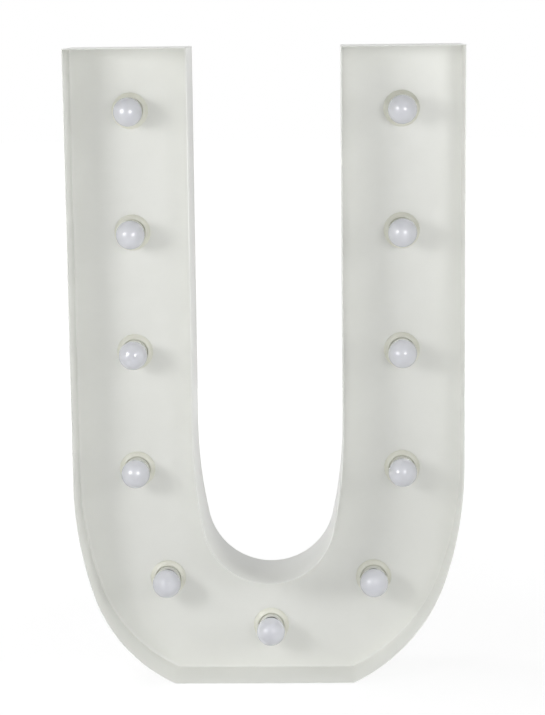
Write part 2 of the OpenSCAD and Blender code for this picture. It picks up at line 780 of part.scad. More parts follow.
// Nut of the earth stud
module earth_nut() {
    color(zinc) translate([stud_x, stud_y, sheet_t + lug_t]) difference() {
        cylinder(h = nut_h, d = nut_d, $fn = 6);
        translate([0, 0, -cut]) cylinder(h = nut_h + 2 * cut, d = stud_d + 2 * pin_fit);
    }
}

// Inlet and switch

// Outline of the inlet's recess with its two clipped corners
module recess_outline(grow) {
    w = recess_w / 2 + grow;
    h = recess_h / 2 + grow;
    clip = 4;
    polygon([[-w, -h], [w, -h], [w, h - clip], [w - clip, h], [clip - w, h], [-w, h - clip]]);
}

// Power inlet: a flanged moulding with a recess for the plug
module power_inlet() {
    color(jet) translate([inlet_x, 0, inlet_z]) difference() {
        union() {
            slab(panel_back, inlet_y) square([flange_w, flange_h], center = true);
            slab(inlet_back, inlet_y) body_outline(recess_w, recess_h, inlet_wall);
        }
        slab(inlet_y - recess_depth, inlet_y + cut) recess_outline(0);
        for (p = pins) slab(inlet_back - cut, inlet_y) translate(p)
            square([pin_w + 2 * pin_fit, pin_h + 2 * pin_fit], center = true);
        for (side = [-1, 1]) hole_y(side * inlet_hole_x, panel_back, inlet_y, 0, inlet_screw_d + 2 * pin_fit);
    }
}

// Pins of the inlet, each with its tab at the back
module inlet_pins() {
    color(brass) translate([inlet_x, 0, inlet_z]) for (p = pins)
        slab(inlet_back - pin_tab, inlet_y - pin_short) translate(p) square([pin_w, pin_h], center = true);
}

// Screws of the inlet's flange
module inlet_screws() {
    color(zinc) for (side = [-1, 1])
        pan_screw(inlet_x + side * inlet_hole_x, inlet_y, inlet_z, inlet_screw_d, inlet_screw_len,
            inlet_head_d, inlet_head_h);
}

// Switch housing: a bezel and a body with a pocket for the rocker
module switch_housing() {
    back = bezel_y - switch_depth;
    color(jet) translate([switch_x, 0, switch_z]) difference() {
        union() {
            slab(panel_back, bezel_y) square([bezel_w, bezel_h], center = true);
            slab(back, bezel_y) body_outline(mouth_w, mouth_h, switch_wall);
        }
        slab(bezel_y - pocket_depth, bezel_y + cut) square([mouth_w, mouth_h], center = true);
        translate([-mouth_w / 2 - switch_wall, pivot_y, 0]) rotate([0, 90, 0])
            cylinder(h = mouth_w + 2 * switch_wall, d = trunnion_d + 2 * pin_fit);
        for (s = [-1, 1]) slab(back - cut, back + blade_seat) translate([0, s * switch_tab_z])
            square([blade_w + 2 * pin_fit, blade_t + 2 * pin_fit], center = true);
    }
}

// Rocker on two trunnions, at rest tilted to its off side
module switch_rocker() {
    sweep = mouth_h / 2 - rocker_play;
    width = mouth_w - 2 * rocker_play;
    rise = rocker_crown + 2 * sweep * tan(rocker_tilt);
    color(jet) translate([switch_x, pivot_y, switch_z]) rotate([-rocker_tilt, 0, 0]) {
        rotate([90, 0, 90]) linear_extrude(width, center = true) intersection() {
            circle(sweep);
            polygon([
                [-rocker_below, -2 * sweep], [rise, -2 * sweep], [rocker_crown, 0],
                [rise, 2 * sweep], [-rocker_below, 2 * sweep]]);
        }
        translate([-mouth_w / 2 - switch_wall / 2, 0, 0]) rotate([0, 90, 0])
            cylinder(h = mouth_w + switch_wall, d = trunnion_d);
    }
}

// Tabs at the back of the switch
module switch_tabs() {
    back = bezel_y - switch_depth;
    color(brass) translate([switch_x, 0, switch_z]) for (s = [-1, 1])
        slab(back - switch_tab_len, back + blade_seat) translate([0, s * switch_tab_z])
            square([blade_w, blade_t], center = true);
}

outer_return();
inner_return();
top_cap(-1);  // top_cap_left
top_cap(1);  // top_cap_right
face_plate();
plate_tabs();
back_panel();
panel_tabs();
panel_screws();
shade_rings();
for (i = [1 : BULBS]) lampholder(i);
thread_sleeves();
centre_contacts();
holder_caps();
live_wires();
neutral_wires();
earth_wire();
terminal_block();
terminal_screws();
earth_stud();
earth_lug();
earth_nut();
power_inlet();
inlet_pins();
inlet_screws();
switch_housing();
switch_rocker();
switch_tabs();
for (i = [1 : BULBS]) bulb_cap(i);
for (i = [1 : BULBS]) bulb_globe(i);
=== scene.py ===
import math

import bmesh
import bpy
from mathutils import Matrix, Vector


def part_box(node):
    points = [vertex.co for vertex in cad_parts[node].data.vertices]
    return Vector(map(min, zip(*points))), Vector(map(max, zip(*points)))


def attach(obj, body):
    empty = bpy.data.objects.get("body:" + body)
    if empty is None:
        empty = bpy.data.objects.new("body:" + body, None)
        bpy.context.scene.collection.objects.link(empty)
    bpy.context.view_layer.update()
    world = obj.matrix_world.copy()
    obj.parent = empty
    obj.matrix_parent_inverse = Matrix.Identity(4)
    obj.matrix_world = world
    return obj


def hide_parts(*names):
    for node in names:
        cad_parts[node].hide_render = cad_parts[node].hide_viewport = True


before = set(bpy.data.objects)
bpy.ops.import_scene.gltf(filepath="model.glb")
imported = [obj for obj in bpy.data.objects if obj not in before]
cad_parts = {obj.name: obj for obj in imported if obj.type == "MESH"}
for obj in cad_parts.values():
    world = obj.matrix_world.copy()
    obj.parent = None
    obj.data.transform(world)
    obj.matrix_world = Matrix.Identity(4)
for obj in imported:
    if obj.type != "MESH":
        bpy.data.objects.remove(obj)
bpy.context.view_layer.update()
scene = bpy.context.scene
scene.view_settings.view_transform = "Standard"

# Camera
# It stands three metres in front, a little to the right of the letter's middle and just above its
# top, and looks slightly down, as the photograph was taken. The lens is a short telephoto.
camera = bpy.data.objects.new("camera", bpy.data.cameras.new("camera"))
camera.data.sensor_width = 36
camera.data.lens = 104.73
camera_place = Vector((0.0934, -3.2443, 1.0517))
camera_turn = math.radians(1.529)
camera_dip = math.radians(9.434)
camera_roll = math.radians(-0.653)
camera.matrix_world = (
    Matrix.Translation(camera_place)
    @ Matrix.Rotation(camera_turn, 4, "Z")
    @ Matrix.Rotation(math.pi / 2 - camera_dip, 4, "X")
    @ Matrix.Rotation(camera_roll, 4, "Z")
)
scene.collection.objects.link(camera)
scene.camera = camera


# Floor
# A wide sheet of white studio paper under the letter. It shows as white and keeps a faint shadow.
# Its shader is put together with the two classes that all the finishes below use.
class Socket:
    """One output of a shader node, so that sums of values read as plain arithmetic."""

    def __init__(self, finish, output):
        self.finish = finish
        self.output = output

    def __add__(self, other):
        return self.finish.math("ADD", self, other)

    def __radd__(self, other):
        return self.finish.math("ADD", other, self)

    def __sub__(self, other):
        return self.finish.math("SUBTRACT", self, other)

    def __rsub__(self, other):
        return self.finish.math("SUBTRACT", other, self)

    def __mul__(self, other):
        return self.finish.math("MULTIPLY", self, other)

    def __rmul__(self, other):
        return self.finish.math("MULTIPLY", other, self)


class Finish:
    """A material, or the world, while its nodes are put together."""

    def __init__(self, owner):
        owner.use_nodes = True
        self.owner = owner
        self.tree = owner.node_tree
        self.tree.nodes.clear()

    def node(self, kind, inputs=None, output=0, **settings):
        """Adds a node: its settings first, then the values or links of its sockets."""
        made = self.tree.nodes.new("ShaderNode" + kind)
        for name, value in settings.items():
            setattr(made, name, value)
        for name, value in (inputs or {}).items():
            if isinstance(value, Socket):
                self.tree.links.new(value.output, made.inputs[name])
            else:
                made.inputs[name].default_value = value
        return Socket(self, made.outputs[output]) if made.outputs else None

    def math(self, operation, one, other):
        """Adds a Math node for two values."""
        return self.node("Math", {0: one, 1: other}, operation=operation)

    def seen(self):
        """1 for what the camera sees, directly, in a reflection or through glass, and otherwise 0."""
        straight = self.node("LightPath", output="Is Camera Ray")
        mirrored = self.node("LightPath", output="Is Glossy Ray")
        through = self.node("LightPath", output="Is Transmission Ray")
        return self.math("MAXIMUM", self.math("MAXIMUM", straight, mirrored), through)


paper = Finish(bpy.data.materials.new("studio_paper"))
paper_place = paper.node("TexCoord", output="Object")
paper_reach = paper.node("VectorMath", {0: paper_place}, output="Value", operation="LENGTH")
# From half a metre out to two and a half, the paper's own glow rises to full white
paper_fade = {"From Min": 0.5, "From Max": 2.5, "To Min": 0.84}
paper_glow = paper.node("MapRange", {"Value": paper_reach, **paper_fade})
paper_bounce = paper.node("BsdfDiffuse", {"Color": (0.6, 0.6, 0.6, 1)})
paper_shadow = paper.node("BsdfDiffuse", {"Color": (0.22, 0.22, 0.22, 1)})
paper_white = paper.node("Emission", {"Color": paper_glow})
paper_shown = paper.node("AddShader", {0: paper_shadow, 1: paper_white})
paper_surface = paper.node("MixShader", {0: paper.seen(), 1: paper_bounce, 2: paper_shown})
paper.node("OutputMaterial", {"Surface": paper_surface})

paper_half = 14
bm = bmesh.new()
bmesh.ops.create_grid(bm, x_segments=2, y_segments=2, size=paper_half)
floor = bpy.data.objects.new("floor", bpy.data.meshes.new("floor"))
bm.to_mesh(floor.data)
bm.free()
floor.data.materials.append(paper.owner)
scene.collection.objects.link(floor)

# Studio light
# A soft box on the left and a smaller lamp to the right of the camera light the tray. Their bright faces,
# which only reflections show, give the two glints on the globes. Screens in front, on both sides, above
# and behind, in a pale room, fill the shadows.
room = Finish(bpy.data.worlds.new("pale_room"))
scene.world = room.owner
room_fill = room.node("Background", {"Color": (0.98, 0.99, 1.0, 1), "Strength": 0.21})
room_white = room.node("Background", {"Color": (1, 1, 1, 1), "Strength": 1.0})
room_surface = room.node("MixShader", {0: room.seen(), 1: room_fill, 2: room_white})
room.node("OutputWorld", {"Surface": room_surface})

light_aim = Vector((0, 0, 0.6))
for name, bearing, distance, height, size, watts, glint in (
    ("soft_box_left", -43, 2.3, 1.15, 0.85, 13.4, False),
    ("soft_box_left_face", -43, 2.3, 1.15, 1.0, 50, True),
    ("lamp_right", 22, 2.6, 1.15, 0.65, 5.7, False),
    ("lamp_right_face", 22, 2.6, 1.15, 0.75, 42, True),
    ("screen_front", 0, 2.6, 0.45, 0.8, 10.3, False),
    ("screen_left", -80, 3.0, 1.2, 2.2, 30, False),
    ("screen_right", 75, 3.0, 1.2, 2.2, 39, False),
    ("screen_overhead", 0, 0.9, 3.6, 2.4, 2.5, False),
    ("screen_top", -110, 1.6, 3.2, 1.4, 20, False),
    ("screen_back", 180, 2.6, 0.3, 1.2, 16, False),
):
    lamp = bpy.data.lights.new(name, "AREA")
    lamp.shape = "DISK"
    lamp.size = size
    lamp.energy = watts
    lamp_stand = bpy.data.objects.new(name, lamp)
    angle = math.radians(bearing)
    lamp_stand.location = (distance * math.sin(angle), -distance * math.cos(angle), height)
    lamp_stand.rotation_euler = (lamp_stand.location - light_aim).to_track_quat("Z", "Y").to_euler()
    lamp_stand.visible_camera = False
    lamp_stand.visible_diffuse = not glint
    lamp_stand.visible_glossy = glint
    scene.collection.objects.link(lamp_stand)


# Returns
# The sides of the tray: two strips of 1.2 mm sheet steel, 145 mm deep. One is bent round the outside
# of the letter and the other round its counter, and both are powder coated in a satin off-white.
class Coat(Finish):
    """A finish on a solid, with the patterns that the coats share."""

    def __init__(self, name):
        super().__init__(bpy.data.materials.new(name))
        self.place = self.node("TexCoord", output="Object")

    def noise(self, scale, detail=2.0):
        """Soft noise from 0 to 1, with its scale in features per metre."""
        return self.node("TexNoise", {"Vector": self.place, "Scale": scale, "Detail": detail})

    def along(self, axis):
        """The place along X, Y or Z in metres."""
        return self.node("SeparateXYZ", {"Vector": self.place}, output=axis)

    def rise(self, value, low, high):
        """A smooth rise from 0 at low to 1 at high."""
        inputs = {"Value": value, "From Min": low, "From Max": high}
        return self.node("MapRange", inputs, interpolation_type="SMOOTHSTEP")

    def mix(self, share, one, other):
        """A colour between two colours, through the Mix node's own sockets for colours."""
        return self.node("Mix", {0: share, 6: one, 7: other}, output=2, data_type="RGBA")

    def relief(self, height, depth, under=None):
        """A normal from a height of 0 to 1 that is depth metres deep, on top of another one."""
        inputs = {"Height": height, "Distance": depth}
        if under:
            inputs["Normal"] = under
        return self.node("Bump", inputs)

    def surface(self, **sockets):
        """Ends the coat: the shader and its link to the material's output."""
        inputs = {name.replace("_", " "): value for name, value in sockets.items()}
        self.node("OutputMaterial", {"Surface": self.node("BsdfPrincipled", inputs)})
        return self.owner


def powder_coat():
    """Satin off-white powder coat with orange peel, scuffed where the letter stands."""
    coat = Coat("white_paint")
    patches = coat.rise(0.6 * coat.noise(6, 3) + 0.4 * coat.noise(34), 0.35, 0.65)
    peel = coat.noise(640, 1)
    foot = (1 - coat.rise(coat.along("Z"), 0.0004, 0.0012)) * coat.rise(coat.noise(60, 5), 0.5, 0.72)
    colour = coat.mix(patches, (0.846, 0.851, 0.814, 1), (0.860, 0.865, 0.830, 1))
    colour = coat.mix(0.4 * foot, colour, (0.50, 0.49, 0.46, 1))
    sheet_waves = coat.relief(coat.noise(8, 1), 0.0006)
    skin = coat.relief(peel, 0.00005, sheet_waves)
    gloss = 0.29 + 0.06 * patches + 0.04 * peel + 0.12 * foot
    return coat.surface(Base_Color=colour, Roughness=gloss, Normal=skin, Specular_IOR_Level=0.45)


def walk(bm, start, runs, axis):
    """Draws a chain of edges: a run goes straight to a point, or bends about it by some degrees."""
    tip = bm.verts.new(start)
    for point, turn in runs:
        if turn:
            steps = max(2, round(abs(turn) / 2))
            angle = math.radians(turn)
            made = bmesh.ops.spin(bm, geom=[tip], cent=point, axis=axis, angle=angle, steps=steps)
            tip = made["geom_last"][0]
        else:
            tip = bmesh.ops.extrude_vert_indiv(bm, verts=[tip])["verts"][0]
            tip.co = point


def soften(bm, width, segments=2, sharper=50):
    """Rounds the edges of a closed mesh that are sharper than some degrees."""
    limit = math.radians(sharper)
    edges = [edge for edge in bm.edges if len(edge.link_faces) == 2 and edge.calc_face_angle() > limit]
    bmesh.ops.bevel(
        bm, geom=edges, offset=width, offset_type="OFFSET", affect="EDGES", segments=segments,
        profile=0.5, material=-1, clamp_overlap=True,
    )


touching = 1e-6
crease = math.radians(42)


def piece(bm, name, finish, slot, body, *nodes):
    """Closes a mesh and fixes it to a body with its finish, in place of the nodes that it stands for."""
    bmesh.ops.remove_doubles(bm, verts=bm.verts[:], dist=touching)
    bmesh.ops.recalc_face_normals(bm, faces=bm.faces[:])
    for face in bm.faces:
        face.smooth = True
    made = bpy.data.objects.new(name, bpy.data.meshes.new(name))
    bm.to_mesh(made.data)
    bm.free()
    made.data.set_sharp_from_angle(angle=crease)
    made.data.materials.append(finish)
    scene.collection.objects.link(made)
    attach(made, body)
    if nodes:
        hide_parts(*nodes)
    return made


white_paint = powder_coat()
sheet = 0.0012
lip_round = 0.0004
tray_low, tray_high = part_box("outer_return")
tray_front, tray_rear = tray_low.y, tray_high.y
tray_top = tray_high.z
half_width = tray_high.x
LETTER_BENDS = (0, -1, 0)

# Long curves of the flanks, and each bottom corner's radius and foot
flank_r = 0.576
flank_turn = 18.5
flank_x = half_width - flank_r
left_corner = (0.240, 0.151)
right_corner = (0.284, 0.131)


def corner_bend(corner, inset):
    """A bottom corner's centre, the top of the long curve above it, and its turn down to the base."""
    radius, foot = corner
    lean = math.radians(flank_turn)
    centre_x = flank_x + (flank_r - radius) * math.cos(lean)
    centre_z = math.sqrt(radius**2 - (foot - centre_x) ** 2)
    top = centre_z + (flank_r - radius) * math.sin(lean)
    down = math.asin((centre_z - inset) / (radius - inset))
    base_x = centre_x + (radius - inset) * math.cos(down)
    return centre_x, centre_z, top, math.degrees(down) - flank_turn, base_x


def outer_runs(inset, y, top):
    """Down the left arm, round the base and up the right arm, drawn in by an inset."""
    left_x, left_z, left_top, left_turn, _ = corner_bend(left_corner, inset)
    right_x, right_z, right_top, right_turn, right_foot = corner_bend(right_corner, inset)
    side = half_width - inset
    return [
        ((-side, y, left_top), 0),
        ((-flank_x, y, left_top), flank_turn),
        ((-left_x, y, left_z), left_turn),
        ((right_foot, y, inset), 0),
        ((right_x, y, right_z), right_turn),
        ((flank_x, y, right_top), flank_turn),
        ((side, y, top), 0),
    ]


# Counter: upright flanks, long curves and a round bottom
counter_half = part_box("inner_return")[1].x - sheet
counter_r = 0.103
counter_z = 0.266
counter_flank_r = 0.720
counter_flank_x = counter_half - counter_flank_r
counter_turn = math.degrees(math.acos(-counter_flank_x / (counter_flank_r - counter_r)))
counter_top = counter_z + (counter_flank_r - counter_r) * math.sin(math.radians(counter_turn))


def counter_runs(outset, y, top, way=1):
    """Down one side of the counter, round its bottom and up the other, let out by an outset."""
    side = way * (counter_half + outset)
    bend_x = way * counter_flank_x
    turn = way * counter_turn
    return [
        ((-side, y, counter_top), 0),
        ((-bend_x, y, counter_top), turn),
        ((0, y, counter_z), way * 180 - 2 * turn),
        ((bend_x, y, counter_top), turn),
        ((side, y, top), 0),
    ]


def bent_strip(node, start_x, runs, thickness):
    """A return: its outline swept from the front lip to the rear one, with the sheet's thickness."""
    bm = bmesh.new()
    walk(bm, (start_x, tray_front, tray_top), runs, LETTER_BENDS)
    swept = bmesh.ops.extrude_edge_only(bm, edges=bm.edges[:])
    rear_verts = [part for part in swept["geom"] if isinstance(part, bmesh.types.BMVert)]
    bmesh.ops.translate(bm, verts=rear_verts, vec=(0, tray_rear - tray_front, 0))
    bmesh.ops.solidify(bm, geom=bm.faces[:], thickness=thickness)
    bmesh.ops.recalc_face_normals(bm, faces=bm.faces[:])
    soften(bm, lip_round)
    piece(bm, node + "_strip", white_paint, "white_paint", "letter", node)


bent_strip("outer_return", -half_width, outer_runs(0, tray_front, tray_top), sheet)
bent_strip("inner_return", -counter_half, counter_runs(0, tray_front, tray_top), -sheet)


# Top strips and face plate
# Strips of the same sheet close the two arms at the top. The face plate stands 82 mm behind the front
# lips, has a hole for each lampholder, and is welded in all round with a small fillet.
def dress(material, *names):
    """Gives CAD nodes their finish."""
    for name in names:
        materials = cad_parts[name].data.materials
        materials.clear()
        materials.append(material)


def ease(width, *names):
    """Rounds the edges of CAD nodes a little."""
    for name in names:
        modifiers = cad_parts[name].modifiers
        modifiers.new("merge", "WELD").merge_threshold = touching
        edges = modifiers.new("eased_edges", "BEVEL")
        edges.width = width
        edges.segments = 2
        edges.limit_method = "ANGLE"
        edges.angle_limit = math.radians(40)


dress(white_paint, "top_cap_left", "top_cap_right", "face_plate")
ease(0.0003, "top_cap_left", "top_cap_right")
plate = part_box("face_plate")[0].y


def stroke_loop(bm, inset, y):
    """Closed outline of the stroke between the returns, drawn in by an inset, as a list of edges."""
    before = set(bm.edges)
    top = tray_top - inset
    start = (inset - half_width, y, top)
    runs = outer_runs(inset, y, top) + [((counter_half + inset, y, top), 0)]
    runs += counter_runs(inset, y, top, way=-1) + [(start, 0)]
    walk(bm, start, runs, LETTER_BENDS)
    made = [edge for edge in bm.edges if edge not in before]
    ends = {vert for edge in made for vert in edge.verts}
    bmesh.ops.remove_doubles(bm, verts=list(ends), dist=touching)
    return [edge for edge in bm.edges if edge not in before]


bm = bmesh.new()
weld = 0.002
weld_sink = 0.0003
weld_loops = [
    stroke_loop(bm, inset, y)
    for inset, y in (
        (sheet, plate - weld),
        (sheet + 0.25 * weld, plate - 0.25 * weld),
        (sheet + weld, plate),
        (sheet - weld_sink, plate + weld_sink),
    )
]
for one, other in zip(weld_loops, weld_loops[1:] + weld_loops[:1]):
    bmesh.ops.bridge_loops(bm, edges=one + other)
piece(bm, "plate_weld", white_paint, "white_paint", "letter")


# Brackets
# Bent strips of zinc plated steel: twelve carry the face plate on the flanks, and twelve more, with
# tapped holes, take the screws of the back panel.
def plated(name, dark, light, gloss, streak):
    """Plated metal: cloudy in tone, with fine rolling streaks along the height."""
    coat = Coat(name)
    stretched = coat.node("Mapping", {"Vector": coat.place, "Scale": (1, 1, 0.08)})
    streaks = coat.node("TexNoise", {"Vector": stretched, "Scale": 900, "Detail": 2.0})
    clouds = coat.rise(0.7 * coat.noise(70, 3) + 0.3 * streaks, 0.3, 0.7)
    colour = coat.mix(clouds, dark, light)
    return coat.surface(
        Base_Color=colour, Metallic=1.0, Roughness=gloss + 0.16 * clouds,
        Normal=coat.relief(streaks, streak),
    )


zinc_plate = plated("zinc_plate", (0.46, 0.47, 0.48, 1), (0.62, 0.63, 0.64, 1), 0.3, 0.00002)
dress(zinc_plate, "plate_tabs", "panel_tabs")


# Lampholders
# Cream thermoplastic screw sockets. Each barrel comes through the plate from behind, with a shoulder
# against it, and its rounded rim stands just above the clamping ring that screws onto it.
FRONT_TO_BACK = (0, 1, 0)
PROFILE_BENDS = (0, 0, 1)


def moulding(name, dark, light, gloss, grain):
    """Moulded plastic: nearly even in tone, with a fine grain from the mould."""
    coat = Coat(name)
    clouds = coat.rise(coat.noise(45, 3), 0.3, 0.7)
    sparks = coat.noise(2400, 1)
    colour = coat.mix(clouds, dark, light)
    return coat.surface(
        Base_Color=colour, Roughness=gloss + 0.08 * clouds + 0.06 * sparks,
        Normal=coat.relief(sparks, grain),
    )


def spin_round(bm, steps):
    """Spins an outline once round the front to back axis."""
    bmesh.ops.spin(
        bm, geom=bm.verts[:] + bm.edges[:], cent=(0, 0, 0), axis=FRONT_TO_BACK,
        angle=2 * math.pi, steps=steps, use_merge=True,
    )


def turned(profile, steps=64):
    """Spins a half outline that is closed or runs from pole to pole.

    Its points are a radius and a distance in front of the plate. A third value bends the outline about
    that point, by some degrees.
    """
    bm = bmesh.new()
    (start, _), *runs = [((radius, plate - out, 0), *(turn or [0])) for radius, out, *turn in profile]
    walk(bm, start, runs, PROFILE_BENDS)
    spin_round(bm, steps)
    bmesh.ops.remove_doubles(bm, verts=bm.verts[:], dist=touching)
    bmesh.ops.recalc_face_normals(bm, faces=bm.faces[:])
    return bm


BULBS = range(1, 12)
bulb_axis = {}
for n in BULBS:
    low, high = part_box(f"bulb_globe_{n:02d}")
    bulb_axis[n] = Vector(((low.x + high.x) / 2, 0, (low.z + high.z) / 2))


def at_bulb(bm, n):
    """A copy of a turned mesh on the axis of one bulb."""
    copy = bm.copy()
    bmesh.ops.translate(copy, verts=copy.verts[:], vec=bulb_axis[n])
    return copy


cream = moulding("cream_moulding", (0.80, 0.80, 0.73, 1), (0.83, 0.83, 0.77, 1), 0.34, 0.00001)
hole_r = 0.0016
mouth_r = 0.0155
relief_r = 0.0189
barrel_r = 0.0195
body_r = 0.021
shoulder_r = 0.025
barrel_rear = -0.026
barrel_floor = -0.022
shoulder_rear = -0.0042
shoulder_front = -0.0012
barrel_rim = 0.008
thread_relief = [(barrel_r, 0.0030), (relief_r, 0.0036), (relief_r, 0.0062), (barrel_r, 0.0066)]
barrel = turned([
    (hole_r, barrel_rear), (body_r, barrel_rear), (body_r, shoulder_rear), (shoulder_r, shoulder_rear),
    (shoulder_r, shoulder_front), (barrel_r, shoulder_front), *thread_relief, (barrel_r, barrel_rim),
    (mouth_r, barrel_rim), (mouth_r, barrel_floor), (hole_r, barrel_floor), (hole_r, barrel_rear),
])
soften(barrel, width=0.0006, segments=3)
for n in BULBS:
    barrel_name, node = f"lampholder_barrel_{n:02d}", f"lampholder_{n:02d}"
    piece(at_bulb(barrel, n), barrel_name, cream, "cream_moulding", "letter", node)
barrel.free()


# Clamping rings
# Cream rings that screw onto the barrels in front of the plate and hold the lampholders. Each slopes
# up to its collar, has shallow grips round its edge, and is eased where it meets the barrel.
def on_each_bulb(bm):
    """One mesh with a turned shape on the axis of every bulb."""
    whole = bmesh.new()
    for n in BULBS:
        copy = at_bulb(bm, n)
        one = bpy.data.meshes.new("copy")
        copy.to_mesh(one)
        copy.free()
        whole.from_mesh(one)
        bpy.data.meshes.remove(one)
    bm.free()
    return whole


ring_cream = moulding("ring_moulding", (0.78, 0.78, 0.685, 1), (0.81, 0.81, 0.725, 1), 0.42, 0.00001)
ring_bore_r = 0.01965
ring_bore_end = 0.0036
ring_r = 0.0285
ring_edge = 0.0022
slope_foot = (0.0268, 0.0036)
collar_r, collar_bore_r = 0.0223, 0.0206
collar_rim = 0.006
ring = turned([
    (ring_bore_r, 0.0), (ring_r, 0.0), (ring_r, ring_edge), slope_foot, (collar_r, collar_rim),
    (collar_bore_r, collar_rim), (ring_bore_r, ring_bore_end), (ring_bore_r, 0.0),
], steps=96)
grip_count = 24
grip_depth = 0.0004
for vert in ring.verts:
    radius = math.hypot(vert.co.x, vert.co.z)
    if radius > ring_r - grip_depth:
        turn = math.atan2(vert.co.z, vert.co.x)
        shrink = 1 - grip_depth / radius * (0.5 + 0.5 * math.cos(grip_count * turn))
        bmesh.ops.scale(ring, verts=[vert], vec=(shrink, 1, shrink))
soften(ring, width=0.0005, sharper=28)
piece(on_each_bulb(ring), "clamping_rings", ring_cream, "cream_moulding", "letter", "shade_rings")

# Sockets
# Brass thread sleeves and centre contacts inside the lampholders, with their terminals behind. The rolled
# thread stands inwards from each sleeve; a black ring in each barrel's mouth is painted shade in the gap.
brass = plated("brass", (0.50, 0.36, 0.14, 1), (0.62, 0.47, 0.20, 1), 0.3, 0.00002)
dress(brass, "thread_sleeves", "centre_contacts")


def wind(bm, root, crest, front, turns):
    """Winds a rounded screw ridge round the axis, from a distance in front of the plate backwards."""
    pitch = 0.0036
    turn_steps = 36
    sunk = root - 0.2 * (crest - root)
    flank = root + 0.6 * (crest - root)
    # Radii, and distances along the axis as shares of the pitch
    section = (
        (sunk, -0.46), (flank, -0.27), (crest, -0.09), (crest, 0.09), (flank, 0.27), (sunk, 0.46),
    )
    verts = [bm.verts.new((radius, plate - front + share * pitch, 0)) for radius, share in section]
    edges = [bm.edges.new(pair) for pair in zip(verts, verts[1:] + verts[:1])]
    wound = bmesh.ops.spin(
        bm, geom=verts + edges, cent=(0, 0, 0), axis=FRONT_TO_BACK, dvec=(0, pitch / turn_steps, 0),
        angle=2 * math.pi * turns, steps=round(turns * turn_steps),
    )
    last = [part for part in wound["geom_last"] if isinstance(part, bmesh.types.BMEdge)]
    bmesh.ops.edgeloop_fill(bm, edges=edges)
    bmesh.ops.edgeloop_fill(bm, edges=last)


bm = bmesh.new()
wind(bm, root=0.0140, crest=0.01355, front=0.0030, turns=4.5)
piece(on_each_bulb(bm), "sleeve_threads", brass, "brass", "letter")

# Painted shade: a black ring in each barrel's mouth darkens the gap round the bulb's neck, where the deep
# socket is in shade.
mouth_shade_black = moulding("seal_rubber", (0.018, 0.018, 0.018, 1), (0.030, 0.029, 0.028, 1), 0.62, 0.00002)
mouth_shade_bore_r, mouth_shade_r = 0.0135, 0.0156
mouth_shade_rear, mouth_shade_front = 0.0032, 0.0058
mouth_shade = turned([
    (mouth_shade_bore_r, mouth_shade_rear), (mouth_shade_r, mouth_shade_rear), (mouth_shade_r, mouth_shade_front), (mouth_shade_bore_r, mouth_shade_front),
    (mouth_shade_bore_r, mouth_shade_rear),
])
soften(mouth_shade, width=0.0003)
piece(on_each_bulb(mouth_shade), "mouth_shade_rings", mouth_shade_black, "black_moulding", "letter")


# Bulbs
# Small opal globe bulbs on nickel plated screw caps. The globe sweeps into a short neck, the cap has a
# rolled thread, and a black glass insulator holds the end contact.
def opal():
    """Opal globe: milky and glossy, with a faint cloudiness in the wall."""
    coat = Coat("opal_globe")
    clouds = coat.rise(coat.noise(90, 3), 0.3, 0.7)
    colour = coat.mix(clouds, (0.637, 0.643, 0.694, 1), (0.657, 0.663, 0.71, 1))
    return coat.surface(
        Base_Color=colour, Roughness=0.12 + 0.03 * clouds,
        Normal=coat.relief(coat.noise(300, 2), 0.000004),
        Specular_IOR_Level=0.7, Subsurface_Weight=1.0, Subsurface_Scale=0.05, Subsurface_Radius=(1, 1, 1),
    )


opal_globe = opal()
globe_r = 0.0225
globe_out = 0.039
neck_r = 0.013
neck_seat = 0.009
neck_sweep = 0.005
sweep_r = neck_r + neck_sweep
sweep_h = globe_out - math.sqrt((globe_r + neck_sweep) ** 2 - sweep_r**2)
sweep_turn = math.degrees(math.acos(sweep_r / (globe_r + neck_sweep)))
globe = turned([
    (0, neck_seat), (neck_r, neck_seat), (neck_r, sweep_h), (sweep_r, sweep_h, sweep_turn),
    (0, globe_out, -90 - sweep_turn),
])

cap_metal = plated("cap_metal", (0.52, 0.52, 0.53, 1), (0.70, 0.70, 0.71, 1), 0.2, 0.00001)
cap_root = 0.0122
cap_crest = 0.0132
cap_end_r = 0.0112
cap_collar = 0.0065
cap_thread_front, cap_thread_rear = 0.0058, -0.0125
cap_end = -0.0135
cap = turned([
    (0, neck_seat), (cap_crest, neck_seat), (cap_crest, cap_collar), (cap_root, cap_thread_front),
    (cap_root, cap_thread_rear), (cap_end_r, cap_end), (0, cap_end),
], steps=48)
soften(cap, width=0.0003, sharper=30)
wind(cap, cap_root, cap_crest, front=0.0042, turns=4.2)

glass_black = (0.010, 0.010, 0.012, 1), (0.022, 0.021, 0.022, 1)
insulator_glass = moulding("insulator_glass", *glass_black, 0.12, 0.000004)
insulator_r, insulator_tip_r = 0.0108, 0.0046
insulator_seat, insulator_edge, insulator_tip = -0.0132, -0.0138, -0.0178
insulator = turned([
    (0, insulator_seat), (insulator_r, insulator_seat), (insulator_r, insulator_edge),
    (insulator_tip_r, insulator_tip), (0, insulator_tip),
])
soften(insulator, width=0.0004, sharper=30)

contact_r, contact_tip_r = 0.0044, 0.0030
contact_seat, contact_edge, contact_dome, contact_tip = -0.017, -0.0194, -0.0204, -0.0205
contact = turned([
    (0, contact_seat), (contact_r, contact_seat), (contact_r, contact_edge),
    (contact_tip_r, contact_dome), (0, contact_tip),
])
soften(contact, width=0.0004, sharper=25)

